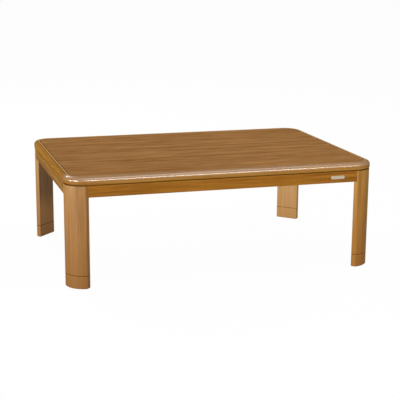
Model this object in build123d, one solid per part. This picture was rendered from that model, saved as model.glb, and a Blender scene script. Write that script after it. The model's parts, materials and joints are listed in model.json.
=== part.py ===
from build123d import *
import math
import os

# A low heated table: a lift-off top on a frame with four curved plank legs, pull-off leg
# extensions, and an electric heater under the middle. Millimetres. +X runs along the table,
# +Y towards its back, +Z up. The origin is on the floor under the middle of the top.
# "u" and "v" are distances from a side edge and from a front or back edge of the top.

# ---- the top ----
top_length = 1200.0
top_width = 850.0
top_thickness = 30.0
top_corner_radius = 72.0
edging_width = 21.0
shoulder_run = 17.0
shoulder_drop = 14.0
under_round = 8.0
tongue_length = 8.0
tongue_thickness = 8.0
veneer_thickness = 0.8
backing_thickness = 0.8
border_groove = 3.0
cut_past_face = 1.0

# ---- heights ----
table_height = 415.0
extension_height = 50.0
pad_thickness = 2.0
glide_thickness = 2.0

# ---- legs ----
leg_inset = 1.5
leg_radius = 70.0
leg_end_thickness = 17.5
leg_arris = 2.0
joint_chamfer = 0.8
glide_inset = 3.0
pad_radius = 11.0

# ---- extension pins ----
pin_radius = 4.0
pin_clearance = 0.05
pin_in_leg = 28.0
pin_in_extension = 20.0
pin_spacing = 40.0
pin_bore_spare = 3.0
pin_chamfer = 1.0

# ---- aprons and rails ----
apron_inset = 5.0
apron_thickness = 18.0
apron_height = 43.0
apron_round = 2.0
rail_width = 30.0
rail_height = 38.0
tenon_length = 9.0
tenon_width = 12.0
tenon_height = 22.0
dowel_radius = 3.0
dowel_length = 30.0
dowel_spacing = 20.0
dowel_setback = 5.0

# ---- corner brackets and leg bolts ----
bracket_thickness = 2.0
bracket_height = 34.0
bracket_standoff = 17.0
bracket_wing = 26.0
screw_radius = 2.0
screw_clearance = 0.25
screw_length = 14.0
screw_head_radius = 4.0
screw_head_height = 2.2
screw_head_chamfer = 1.1
bolt_radius = 4.0
bolt_clearance = 0.5
bolt_in_leg = 20.0
bolt_past_nut = 3.0
bolt_spacing = 44.0
washer_radius = 9.0
washer_thickness = 1.6
nut_across_flats = 13.0
nut_height = 6.5

# ---- nameplate, left bare ----
plate_length = 57.0
plate_height = 13.0
plate_thickness = 1.2
plate_chamfer = 0.4
plate_from_right = 155.5
plate_above_apron = 21.3

# ---- heater housing ----
heater_opening = 304.0
heater_screw_spacing = 160.0
heater_clearance = 4.0
heater_sheet = 1.2
housing_depth = 34.0
housing_corner = 14.0
flange_width = 16.0
bead_radius = 4.0
bead_length = 200.0
bead_height = 2.0

# ---- reflector, tubes and holders ----
reflector_sheet = 0.8
reflector_length = 236.0
reflector_rim = 12.0
trough_radius = 23.0
tube_offset = 92.0
tube_drop = 27.0
tube_radius = 5.0
tube_wall = 1.0
tube_length = 262.0
tube_hole_clearance = 1.0
coil_radius = 2.6
coil_rib = 0.9
coil_pitch = 11.0
coil_end_gap = 16.0
holder_width = 18.0
holder_thickness = 9.0
holder_below = 9.0
terminal_length = 6.0
terminal_past_tube = 2.0

# ---- fan ----
fan_radius = 36.0
fan_hub_radius = 11.0
fan_hub_round = 3.0
fan_height = 10.0
fan_blades = 7
fan_blade_thickness = 1.2
fan_blade_pitch = 28.0
fan_hole_clearance = 4.0
fan_gap = 3.0
motor_radius = 24.0
motor_height = 14.0
motor_round = 2.0
motor_ear = 8.0
motor_ear_width = 12.0
motor_ear_thickness = 2.0
motor_boss_reach = 26.0
motor_boss_width = 16.0
motor_boss_height = 8.0
motor_boss_rise = 3.0
shaft_radius = 1.5
shaft_clearance = 0.05
shaft_in_motor = 9.0
shaft_end_gap = 1.0

# ---- guard grille ----
guard_setback = 9.0
guard_frame_radius = 2.0
guard_corner = 16.0
guard_depth = 17.0
guard_slope = 18.0
guard_wire_radius = 1.2
guard_bend = 9.0
guard_wire_count = 13
guard_cross_wire_count = 5
guard_weld = 0.4
clip_width = 12.0
clip_thickness = 1.0
clip_hook = 4.0
clip_foot = 20.0

# ---- thermostat, fuse, terminal block and leads ----
controls_offset = 84.0
thermostat_radius = 7.5
thermostat_height = 8.0
thermostat_round = 1.0
thermostat_flange = 24.0
thermostat_flange_thickness = 1.0
tab_offset = 4.0
tab_height = 3.0
tab_width = 4.0
tab_depth = 6.0
fuse_radius = 3.0
fuse_length = 18.0
fuse_place = 46.0
fuse_chamfer = 0.8
block_length = 34.0
block_width = 13.0
block_height = 9.0
block_round = 2.0
block_well_radius = 3.0
block_well_depth = 4.0
block_well_spacing = 11.0
lead_radius = 1.1
lead_bend = 3.0
lead_spacing = 7.0
lead_rise = 4.5
lead_wall_gap = 6.0
lead_lane_step = 3.0
motor_lane_gap = 4.0
lead_past_reflector = 8.0
lead_past_fuse = 15.0

# ---- power inlet ----
inlet_width = 34.0
inlet_length = 22.0
inlet_height = 20.0
inlet_place = 130.0
inlet_wall = 4.0
socket_depth = 15.0
inlet_pin_radius = 2.0
inlet_pin_spacing = 12.7
inlet_pin_length = 11.0
inlet_round = 2.5

# ---- places worked out from the sizes above ----
top_under = table_height - top_thickness
frame_top = top_under - pad_thickness
apron_low = frame_top - apron_height
rail_low = frame_top - rail_height
leg_step = leg_end_thickness / math.sqrt(2)
leg_reach = leg_radius + 2 * leg_step
leg_face = leg_inset + leg_reach / 2
leg_belly = leg_inset + leg_radius * (1 - 1 / math.sqrt(2))
leg_middle = (leg_face + leg_belly) / 2
apron_back_face = apron_inset + apron_thickness
bracket_face = leg_face + bracket_standoff / math.sqrt(2)
hardware_height = frame_top - apron_height / 2
tongue_low = top_under + (top_thickness - tongue_thickness) / 2
rail_centre = heater_opening / 2 + rail_width / 2
housing_side = heater_opening - 2 * heater_clearance
housing_top = rail_low + housing_depth
housing_inside = housing_side / 2 - heater_sheet
flange_half = housing_side / 2 + flange_width
flange_low = rail_low - heater_sheet
tube_height = housing_top - heater_sheet - tube_drop
plateau = tube_height
motor_low = housing_top - heater_sheet - motor_height
motor_boss_low = motor_low + motor_boss_rise
fan_low = motor_low - fan_gap - fan_height
guard_half = housing_inside - guard_setback
guard_top = flange_low - guard_frame_radius
guard_low = guard_top - guard_depth
guard_reach = 2 * (guard_half - guard_corner)
controls_seat = plateau + reflector_sheet
block_x = -(tube_offset + trough_radius + reflector_sheet + housing_inside) / 2
block_lead = controls_seat + block_height / 4
terminal_end = tube_length / 2 + terminal_past_tube
lead_lane = housing_inside - lead_wall_gap
tab_lead = controls_seat + thermostat_height + tab_height / 2
inlet_lead_x = -(housing_inside + flange_half - inlet_length) / 2

CORNERS = {"fl": (-1, -1), "fr": (1, -1), "bl": (-1, 1), "br": (1, 1)}


def save(name, shape):
    """Write one sub-part; a list becomes a group of separate solids."""
    if isinstance(shape, (list, ShapeList)):
        shape = Compound(children=[s for part in shape for s in part.solids()])
    export_step(shape, f"parts/{name}.step")


def box_between(x0, x1, y0, y1, z0, z1):
    centre = ((x0 + x1) / 2, (y0 + y1) / 2, (z0 + z1) / 2)
    return Pos(*centre) * Box(x1 - x0, y1 - y0, z1 - z0)


def at_corner(shape, corner):
    """Carry a front-left piece, made round the Z axis through the top's middle, to a corner."""
    sx, sy = CORNERS[corner]
    if sx > 0:
        shape = mirror(shape, about=Plane.YZ)
    if sy > 0:
        shape = mirror(shape, about=Plane.XZ)
    return shape


def four(shape):
    return [at_corner(shape, corner) for corner in CORNERS]


def corner_plane(depth, height):
    """Plane across the front-left corner, facing the table's middle, "depth" from both edges."""
    place = (-top_length / 2 + depth, -top_width / 2 + depth, height)
    return Plane(origin=place, x_dir=(-1, 1, 0), z_dir=(1, 1, 0))


# ---------------------------------------------------------------- the top
def rounded_board(inset, low, high):
    """The top's outline moved inwards by "inset", between two heights."""
    sketch = RectangleRounded(
        top_length - 2 * inset, top_width - 2 * inset, top_corner_radius - inset
    )
    return Pos(0, 0, low) * extrude(sketch, high - low)


def edging_section():
    """Section of the edging: local x runs inwards from its outer face, local y is height."""
    low, high = top_under, table_height
    belly_low = low + under_round
    belly_high = high - shoulder_drop
    tongue_end = edging_width + tongue_length
    tongue_high = tongue_low + tongue_thickness
    back = Polyline(
        (under_round, low),
        (edging_width, low),
        (edging_width, tongue_low),
        (tongue_end, tongue_low),
        (tongue_end, tongue_high),
        (edging_width, tongue_high),
        (edging_width, high),
        (shoulder_run, high),
    )
    shoulder = EllipticalCenterArc(
        (shoulder_run, belly_high), shoulder_run, shoulder_drop, 90, arc_size=90
    )
    belly = Line((0, belly_high), (0, belly_low))
    under = CenterArc((under_round, belly_low), under_round, 180, 90)
    return make_face([back, shoulder, belly, under])


def edging_run(turn):
    """Straight edging between two corners, on the side that faces "turn" degrees from the front."""
    along, across = (top_length, top_width) if turn % 180 == 0 else (top_width, top_length)
    run = along - 2 * top_corner_radius
    plane = Plane(origin=(-run / 2, -across / 2, 0), x_dir=(0, 1, 0), z_dir=(1, 0, 0))
    return Rot(0, 0, turn) * extrude(plane * edging_section(), run)


def edging_corner(corner):
    """Quarter turn of the edging's section about the corner's centre."""
    plane = Plane(origin=(0, -top_corner_radius, 0), x_dir=(0, 1, 0), z_dir=(1, 0, 0))
    quarter = revolve(plane * edging_section(), Axis.Z, 90)
    turns = {"fr": 0, "br": 90, "bl": 180, "fl": 270}
    sx, sy = CORNERS[corner]
    centre_x = sx * (top_length / 2 - top_corner_radius)
    centre_y = sy * (top_width / 2 - top_corner_radius)
    return Pos(centre_x, centre_y, 0) * Rot(0, 0, turns[corner]) * quarter


def top_core():
    """Board with a groove all round for the edging's tongue."""
    board = rounded_board(
        edging_width, top_under + backing_thickness, table_height - veneer_thickness
    )
    tongue_high = tongue_low + tongue_thickness
    ring = rounded_board(edging_width - cut_past_face, tongue_low, tongue_high)
    ring -= rounded_board(edging_width + tongue_length, tongue_low, tongue_high)
    return board - ring


def make_top():
    save("top_core", top_core())
    veneer_low = table_height - veneer_thickness
    veneer_inset = edging_width + border_groove
    save("top_veneer", rounded_board(veneer_inset, veneer_low, table_height))
    backing_high = top_under + backing_thickness
    save("top_backing", rounded_board(edging_width, top_under, backing_high))
    for side, turn in (("front", 0), ("right", 90), ("back", 180), ("left", 270)):
        save(f"edging_{side}", edging_run(turn))
    for corner in CORNERS:
        save(f"edging_corner_{corner}", edging_corner(corner))


# ---------------------------------------------------------------- legs
def leg_section(shrink=0.0):
    """Plan of a front-left leg: a quarter arc outside, a flat face inside, square-cut ends."""
    r = leg_radius
    arc = CenterArc((r, r), r, 180, 90)
    rest = Polyline((r, 0), (r + leg_step, leg_step), (leg_step, r + leg_step), (0, r))
    face = make_face([arc, rest])
    face = fillet(face.vertices(), leg_arris)
    if shrink:
        face = offset(face, -shrink, kind=Kind.INTERSECTION)
    place = (-top_length / 2 + leg_inset, -top_width / 2 + leg_inset, 0)
    return Pos(*place) * face


def leg_prism(low, high, shrink=0.0):
    return Pos(0, 0, low) * extrude(leg_section(shrink), high - low)


def pin_places(height):
    plane = corner_plane(leg_middle, height)
    return [plane * Pos(side * pin_spacing / 2, 0, 0) for side in (-1, 1)]


def upright(place, radius, low, high):
    """Vertical cylinder through a place, from a height to a height."""
    p = place.position
    return Pos(p.X, p.Y, (low + high) / 2) * Cylinder(radius, high - low)


def leg():
    body = leg_prism(extension_height, frame_top)
    foot = body.faces().sort_by(Axis.Z)[0]
    body = chamfer(foot.edges(), joint_chamfer)
    bore_top = extension_height + pin_in_leg + pin_bore_spare
    for place in pin_places(extension_height):
        bore_low = extension_height - cut_past_face
        body -= upright(place, pin_radius + pin_clearance, bore_low, bore_top)
    for bolt in leg_bolt_pair(bolt_radius):
        body -= bolt
    for dowel in corner_dowels():
        body -= dowel
    return body


def leg_extension():
    body = leg_prism(glide_thickness, extension_height)
    upper = body.faces().sort_by(Axis.Z)[-1]
    body = chamfer(upper.edges(), joint_chamfer)
    low = extension_height - pin_in_extension
    for place in pin_places(extension_height):
        body -= upright(place, pin_radius, low, extension_height + cut_past_face)
    return body


def extension_pins():
    low = extension_height - pin_in_extension
    high = extension_height + pin_in_leg
    pins = [upright(place, pin_radius, low, high) for place in pin_places(low)]
    return [chamfer(pin.edges().sort_by(Axis.Z)[-1], pin_chamfer) for pin in pins]


def rest_pad():
    """Soft pad on top of a leg, under the table's top."""
    place = corner_plane(leg_middle, frame_top)
    return upright(place.location, pad_radius, frame_top, top_under)


def make_legs():
    one_leg = leg()
    one_extension = leg_extension()
    one_glide = leg_prism(0, glide_thickness, glide_inset)
    pins = extension_pins()
    for corner in CORNERS:
        save(f"leg_{corner}", at_corner(one_leg, corner))
        save(f"leg_extension_{corner}", at_corner(one_extension, corner))
        save(f"foot_glide_{corner}", at_corner(one_glide, corner))
        save(f"extension_pins_{corner}", [at_corner(pin, corner) for pin in pins])
    save("rest_pads", four(rest_pad()))


# ---------------------------------------------------------------- aprons and rails
def apron(along, across):
    """Front apron of a frame; its ends are cut at 45 degrees to meet the legs' end faces."""
    near, far = apron_inset, apron_back_face
    half = along / 2 - leg_radius
    plan = Polyline(
        (-half + near, near),
        (half - near, near),
        (half - far, far),
        (-half + far, far),
        close=True,
    )
    board = Pos(0, -across / 2, apron_low) * extrude(make_face(plan), apron_height)
    lower_front = board.edges().filter_by(Axis.X).group_by(Axis.Z)[0]
    return fillet(lower_front, apron_round)


def corner_dowels():
    """Dowels between the front-left leg and its two aprons."""
    depth = apron_inset + dowel_setback
    start = leg_radius + depth - dowel_length / 2
    dowels = []
    for side in (-1, 1):
        height = hardware_height + side * dowel_spacing / 2
        x = -top_length / 2 + start + dowel_length / 2
        y = -top_width / 2 + depth
        dowels.append(Pos(x, y, height) * Rot(0, 90, 0) * Cylinder(dowel_radius, dowel_length))
        x = -top_length / 2 + depth
        y = -top_width / 2 + start + dowel_length / 2
        dowels.append(Pos(x, y, height) * Rot(90, 0, 0) * Cylinder(dowel_radius, dowel_length))
    return dowels


def tenoned_rail(half_length, centre, across):
    """Rail along X at a place across, with a tenon at each end."""
    half = rail_width / 2
    rail = box_between(-half_length, half_length, centre - half, centre + half, rail_low, frame_top)
    middle = (rail_low + frame_top) / 2
    reach = half_length + tenon_length
    tenon = box_between(
        -reach,
        reach,
        centre - tenon_width / 2,
        centre + tenon_width / 2,
        middle - tenon_height / 2,
        middle + tenon_height / 2,
    )
    return Rot(0, 0, across) * (rail + tenon)


def make_frame():
    long_half = top_width / 2 - apron_back_face
    rail_right = tenoned_rail(long_half, -rail_centre, 90)
    rail_left = tenoned_rail(long_half, rail_centre, 90)
    rail_front = tenoned_rail(heater_opening / 2, -rail_centre, 0)
    rail_back = tenoned_rail(heater_opening / 2, rail_centre, 0)
    screws = heater_screws()
    for name, rail in (("rail_right", rail_right), ("rail_left", rail_left)):
        save(name, rail - rail_front - rail_back - screws)
    save("rail_front", rail_front)
    save("rail_back", rail_back)

    dowels = [copy for dowel in corner_dowels() for copy in four(dowel)]
    wing_screws = [copy for screw in bracket_screws() for copy in four(screw)]
    front = apron(top_length, top_width)
    side = apron(top_width, top_length)
    for name, board, turn in (
        ("front", front, 0),
        ("right", side, 90),
        ("back", front, 180),
        ("left", side, 270),
    ):
        board = Rot(0, 0, turn) * board
        save(f"apron_{name}", board - rail_left - rail_right - dowels - wing_screws)
    save("apron_dowels", dowels)


# ---------------------------------------------------------------- corner hardware
def leg_bolt_length():
    gap = (bracket_face - leg_face) * math.sqrt(2)
    stack = bracket_thickness + washer_thickness + nut_height + bolt_past_nut
    return bolt_in_leg + gap + stack


def leg_bolt_pair(radius):
    """Hanger bolts square to the leg's flat inner face."""
    length = leg_bolt_length()
    plane = corner_plane(leg_face, hardware_height)
    lift = length / 2 - bolt_in_leg
    sides = (-bolt_spacing / 2, bolt_spacing / 2)
    return [plane * Pos(x, 0, lift) * Cylinder(radius, length) for x in sides]


def on_bolts(start, build):
    """A washer or nut on each leg bolt, "start" beyond the bracket's inner face."""
    plane = corner_plane(bracket_face, hardware_height)
    lift = bracket_thickness + start
    sides = (-bolt_spacing / 2, bolt_spacing / 2)
    return [plane * Pos(x, 0, lift) * build() for x in sides]


def washer():
    ring = Circle(washer_radius) - Circle(bolt_radius + bolt_clearance)
    return extrude(ring, washer_thickness)


def nut():
    """Hexagon with both ends turned down to a cone, as a pressed nut has."""
    flats = nut_across_flats / 2
    prism = extrude(RegularPolygon(flats, 6, major_radius=False), nut_height)
    corner = flats / math.cos(math.pi / 6)
    turned = Pos(0, 0, nut_height / 2) * Cylinder(corner, nut_height)
    turned = chamfer(turned.edges().filter_by(GeomType.CIRCLE), corner - flats)
    return (prism & turned) - Pos(0, 0, nut_height / 2) * Cylinder(bolt_radius, nut_height)


def corner_bracket():
    """Bent steel plate: a wing on each apron and a flat across the corner for the leg bolts."""
    near = apron_back_face
    far = near + bracket_thickness
    span = 2 * bracket_face
    inner_span = span + bracket_thickness * math.sqrt(2)
    wing_end = span - near + bracket_wing
    half_plan = [(wing_end, near), (span - near, near)]
    half_plan += [(near, span - near), (near, wing_end)]
    half_plan += [(far, wing_end), (far, inner_span - far)]
    half_plan += [(inner_span - far, far), (wing_end, far)]
    low = hardware_height - bracket_height / 2
    plate = extrude(make_face(Polyline(*half_plan, close=True)), bracket_height)
    plate = Pos(-top_length / 2, -top_width / 2, low) * plate
    for bolt in leg_bolt_pair(bolt_radius + bolt_clearance):
        plate -= bolt
    for screw in bracket_screws(screw_radius + screw_clearance):
        plate -= screw
    return plate


def screw_solid(radius):
    """Pan-head screw pointing down, its head's seat at height 0."""
    shank = Pos(0, 0, -screw_length / 2) * Cylinder(radius, screw_length)
    head = Pos(0, 0, screw_head_height / 2) * Cylinder(screw_head_radius, screw_head_height)
    head = chamfer(head.edges().sort_by(Axis.Z)[-1], screw_head_chamfer)
    return shank + head


def bracket_screws(radius=None):
    """Two screws through each wing of the front-left bracket; a radius gives their holes."""
    near = apron_back_face
    seat = near + bracket_thickness
    along = 2 * bracket_face - near + bracket_wing / 2
    shapes = []
    for side in (-1, 1):
        height = hardware_height + side * bracket_height / 4
        one = screw_solid(screw_radius)
        if radius:
            one = Pos(0, 0, 0) * Cylinder(radius, 4 * bracket_thickness)
        front = Pos(-top_length / 2 + along, -top_width / 2 + seat, height) * Rot(-90, 0, 0)
        left = Pos(-top_length / 2 + seat, -top_width / 2 + along, height) * Rot(0, 90, 0)
        shapes += [front * one, left * one]
    return shapes


def nameplate():
    """Round-ended plate on the front apron, with nothing on it."""
    flat = extrude(SlotOverall(plate_length, plate_height), plate_thickness)
    rim = flat.faces().sort_by(Axis.Z)[-1].edges()
    flat = chamfer(rim, plate_chamfer)
    x = top_length / 2 - plate_from_right
    y = -top_width / 2 + apron_inset
    return Pos(x, y, apron_low + plate_above_apron) * Rot(90, 0, 0) * flat


def make_hardware():
    save("corner_brackets", four(corner_bracket()))
    save("bracket_screws", [copy for s in bracket_screws() for copy in four(s)])
    save("leg_bolts", [copy for b in leg_bolt_pair(bolt_radius) for copy in four(b)])
    save("leg_washers", [copy for w in on_bolts(0, washer) for copy in four(w)])
    nuts = on_bolts(washer_thickness, nut)
    save("leg_nuts", [copy for n in nuts for copy in four(n)])
    save("nameplate", nameplate())


# ---------------------------------------------------------------- heater housing and reflector
def heater_screws():
    """Four screws up through the housing's flange into the left and right rails."""
    place = (heater_opening / 2 + flange_half) / 2
    along = heater_screw_spacing / 2
    screw = Pos(place, along, flange_low) * Rot(180, 0, 0) * screw_solid(screw_radius)
    return four(screw)


def heater_housing():
    """Pressed steel tray, open below, with a flange that the rails carry."""
    outer = RectangleRounded(housing_side, housing_side, housing_corner)
    inner = RectangleRounded(
        2 * housing_inside, 2 * housing_inside, housing_corner - heater_sheet
    )
    tray = Pos(0, 0, flange_low) * extrude(outer, housing_top - flange_low)
    hollow = Pos(0, 0, flange_low) * extrude(inner, housing_top - heater_sheet - flange_low)
    flange_sketch = RectangleRounded(2 * flange_half, 2 * flange_half, housing_corner) - outer
    flange = Pos(0, 0, flange_low) * extrude(flange_sketch, heater_sheet)
    tray = tray - hollow + flange
    for x in (-tube_offset, tube_offset):
        bead = Pos(x, 0, housing_top) * Rot(90, 0, 0) * Cylinder(bead_radius, bead_length)
        left, right = x - bead_radius, x + bead_radius
        bead &= box_between(
            left, right, -bead_length, bead_length, housing_top, housing_top + bead_height
        )
        tray += bead
    hole = Cylinder(screw_radius + screw_clearance, 4 * heater_sheet)
    for screw in heater_screws():
        place = screw.bounding_box().center()
        tray -= Pos(place.X, place.Y, flange_low) * hole
    return tray


def heater_reflector():
    """Bright sheet with two half-round troughs, turned-up rims, end plates and a fan hole."""
    t = reflector_sheet
    r = trough_radius
    edge = housing_inside
    half = reflector_length / 2
    sheet = box_between(-edge, edge, -half, half, plateau, plateau + t)
    for side in (-1, 1):
        x = side * tube_offset
        drum = Pos(x, 0, tube_height) * Rot(90, 0, 0) * Cylinder(r + t, reflector_length)
        drum &= box_between(x - 2 * r, x + 2 * r, -half, half, plateau, housing_top)
        low, high = sorted((side * (edge - t), side * edge))
        rim = box_between(low, high, -half, half, plateau, plateau + reflector_rim)
        sheet += drum + rim
    hole = tube_radius + tube_hole_clearance
    for x in (-tube_offset, tube_offset):
        along_tube = Pos(x, 0, tube_height) * Rot(90, 0, 0)
        sheet -= along_tube * Cylinder(r, reflector_length - 2 * t)
        sheet -= along_tube * Cylinder(hole, reflector_length + 2 * cut_past_face)
    return sheet - Pos(0, 0, plateau) * Cylinder(fan_radius + fan_hole_clearance, 4 * t)


def tube_axis(shape):
    """Lay a piece that is built along Z along both heating tubes."""
    sides = (-tube_offset, tube_offset)
    return [Pos(x, 0, tube_height) * Rot(90, 0, 0) * shape for x in sides]


def quartz_tube():
    ring = Circle(tube_radius) - Circle(tube_radius - tube_wall)
    return extrude(ring, tube_length / 2, both=True)


def tube_coil():
    """Heating coil as a ribbed core: one rib for each turn group of the winding."""
    half = tube_length / 2 - coil_end_gap
    turns = int(2 * half / coil_pitch)
    pitch = 2 * half / turns
    points = [(0, -half)]
    for k in range(turns):
        low = -half + k * pitch
        points += [(coil_radius - coil_rib, low), (coil_radius, low + pitch / 2)]
    points += [(coil_radius - coil_rib, half), (0, half)]
    section = make_face(Plane.XZ * Polyline(*points, close=True))
    return revolve(section, Axis.Z, 360)


def tube_terminal():
    """Metal cap inside each end of a tube, where its lead is joined."""
    cap = Cylinder(tube_radius - tube_wall, terminal_length)
    place = terminal_end - terminal_length / 2
    return [Pos(0, 0, side * place) * cap for side in (-1, 1)]


def tube_holder():
    """Ceramic block under the housing's top that carries a tube's end."""
    low = tube_height - holder_below
    high = housing_top - heater_sheet
    block = box_between(-holder_width / 2, holder_width / 2, 0, holder_thickness, low, high)
    block -= Pos(0, 0, tube_height) * Rot(90, 0, 0) * Cylinder(tube_radius, 4 * holder_thickness)
    return Pos(tube_offset, reflector_length / 2, 0) * block


def make_heater():
    save("heater_housing", heater_housing())
    save("heater_screws", heater_screws())
    save("heater_reflector", heater_reflector())
    save("heater_tubes", tube_axis(quartz_tube()))
    save("tube_coils", tube_axis(tube_coil()))
    save("tube_terminals", [piece for cap in tube_terminal() for piece in tube_axis(cap)])
    save("tube_holders", four(at_corner(tube_holder(), "br")))


# ---------------------------------------------------------------- fan
def fan_motor():
    """Flat motor under the housing's top, with two ears, a lead boss and a bore for the shaft."""
    high = motor_low + motor_height
    can = Pos(0, 0, motor_low + motor_height / 2) * Cylinder(motor_radius, motor_height)
    can = fillet(can.edges().sort_by(Axis.Z)[0], motor_round)
    reach = motor_radius + motor_ear
    side = motor_ear_width / 2
    can += box_between(-reach, reach, -side, side, high - motor_ear_thickness, high)
    side = motor_boss_width / 2
    boss_high = motor_boss_low + motor_boss_height
    can += box_between(-side, side, 0, motor_boss_reach, motor_boss_low, boss_high)
    bore = Cylinder(shaft_radius + shaft_clearance, shaft_in_motor + cut_past_face)
    return can - Pos(0, 0, motor_low + (shaft_in_motor - cut_past_face) / 2) * bore


def fan_wheel():
    """Hub and pitched blades moulded on a steel shaft; each blade's tip lies on one cylinder."""
    hub = Cylinder(fan_hub_radius, fan_height)
    hub = fillet(hub.edges().sort_by(Axis.Z)[0], fan_hub_round)
    width = fan_height / math.sin(math.radians(fan_blade_pitch))
    blade = Box(fan_radius, width, fan_blade_thickness)
    blade = Pos(fan_radius / 2, 0, 0) * Rot(fan_blade_pitch, 0, 0) * blade
    ring = Cylinder(fan_radius, fan_height)
    ring -= Cylinder(fan_hub_radius - fan_blade_thickness, fan_height)
    blade &= ring
    wheel = hub
    for k in range(fan_blades):
        wheel += Rot(0, 0, k * 360 / fan_blades) * blade
    low = fan_low + fan_height / 2
    high = motor_low + shaft_in_motor - shaft_end_gap
    shaft = Pos(0, 0, (low + high) / 2) * Cylinder(shaft_radius, high - low)
    return Pos(0, 0, fan_low + fan_height / 2) * wheel + shaft


def make_fan():
    save("fan_motor", fan_motor())
    save("fan_wheel", fan_wheel())


# ---------------------------------------------------------------- guard
def guard_wire(across, lift):
    """Dished wire along X: up at both ends to the frame rod, flat below the tubes."""
    low = guard_low + lift
    flat = guard_half - guard_slope
    path = FilletPolyline(
        (-guard_half, across, guard_top),
        (-flat, across, low),
        (flat, across, low),
        (guard_half, across, guard_top),
        radius=guard_bend,
    )
    start = Plane(origin=path @ 0, z_dir=path % 0)
    return sweep(start * Circle(guard_wire_radius), path=path)


def guard_frame():
    """Round rod bent into a rounded square."""
    path = RectangleRounded(2 * guard_half, 2 * guard_half, guard_corner).wire()
    path = Pos(0, 0, guard_top) * path
    start = Plane(origin=path @ 0, z_dir=path % 0)
    return sweep(start * Circle(guard_frame_radius), path=path)


def spread(count):
    """Even places across the guard."""
    step = guard_reach / (count - 1)
    return [-guard_reach / 2 + k * step for k in range(count)]


def guard_grille():
    """Welded guard: dished wires along X, fewer across on top of them, and the frame rod."""
    grille = guard_frame()
    for place in spread(guard_wire_count):
        grille += guard_wire(place, 0)
    for place in spread(guard_cross_wire_count):
        grille += Rot(0, 0, 90) * guard_wire(place, 2 * guard_wire_radius - guard_weld)
    return grille


def guard_clip():
    """Sprung strip, spot-welded under the flange, that holds the guard's rod between two wires."""
    inner = guard_half - clip_hook
    web = guard_half + guard_frame_radius
    hook_high = guard_top - guard_frame_radius
    hook_low = hook_high - clip_thickness
    low = guard_reach / (guard_wire_count - 1) / 2 - clip_width / 2
    high = low + clip_width
    clip = box_between(inner, web + clip_thickness, low, high, hook_low, hook_high)
    clip += box_between(web, web + clip_thickness, low, high, hook_low, flange_low)
    clip += box_between(web, web + clip_foot, low, high, flange_low - clip_thickness, flange_low)
    return clip


def make_guard():
    save("guard_grille", guard_grille())
    clip = guard_clip()
    save("guard_clips", [Rot(0, 0, turn) * clip for turn in (0, 90, 180, 270)])


# ---------------------------------------------------------------- electrical pieces
def thermostat():
    """Disc thermostat on the reflector, with a flange and two tabs."""
    seat = controls_seat
    top = seat + thermostat_height
    disc = Pos(0, 0, (seat + top) / 2) * Cylinder(thermostat_radius, thermostat_height)
    disc = fillet(disc.edges().sort_by(Axis.Z)[-1], thermostat_round)
    half = thermostat_flange / 2
    flange_high = seat + thermostat_flange_thickness
    disc += box_between(-half, half, -thermostat_radius, thermostat_radius, seat, flange_high)
    wide, deep = tab_width / 2, tab_depth / 2
    tab_seat = top - thermostat_round
    for x in (-tab_offset, tab_offset):
        disc += box_between(x - wide, x + wide, -deep, deep, tab_seat, top + tab_height)
    return Pos(0, -controls_offset, 0) * disc


def thermal_fuse():
    """Sleeved fuse lying on the reflector."""
    body = Rot(90, 0, 0) * Cylinder(fuse_radius, fuse_length)
    body = chamfer(body.edges().filter_by(GeomType.CIRCLE), fuse_chamfer)
    return Pos(fuse_place, -controls_offset, controls_seat + fuse_radius) * body


def terminal_block():
    """Ceramic block with a row of screw wells, between the left trough and the wall."""
    high = controls_seat + block_height
    block = Pos(0, 0, controls_seat + block_height / 2)
    block *= Box(block_width, block_length, block_height)
    block = fillet(block.edges().filter_by(Axis.Z), block_round)
    for y in (-block_well_spacing, 0, block_well_spacing):
        block -= Pos(0, y, high) * Cylinder(block_well_radius, 2 * block_well_depth)
    return Pos(block_x, controls_offset, 0) * block


def lead(*points):
    """Insulated lead through the given points: straight runs with tangent bends."""
    path = FilletPolyline(*points, radius=lead_bend)
    start = Plane(origin=path @ 0, z_dir=path % 0)
    return sweep(start * Circle(lead_radius), path=path)


def inlet_leads():
    """Two leads from the inlet's pins up into the housing and to the terminal block."""
    low = flange_low - inlet_height / 2 + inlet_pin_radius
    block_end = controls_offset + block_length / 2
    leads = []
    for side in (-1, 1):
        y = inlet_place + side * inlet_pin_spacing / 2
        x = block_x + side * lead_spacing / 2
        leads.append(
            lead(
                (inlet_lead_x, y, low),
                (inlet_lead_x, y, block_lead),
                (x, y, block_lead),
                (x, block_end, block_lead),
            )
        )
    return leads


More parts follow.
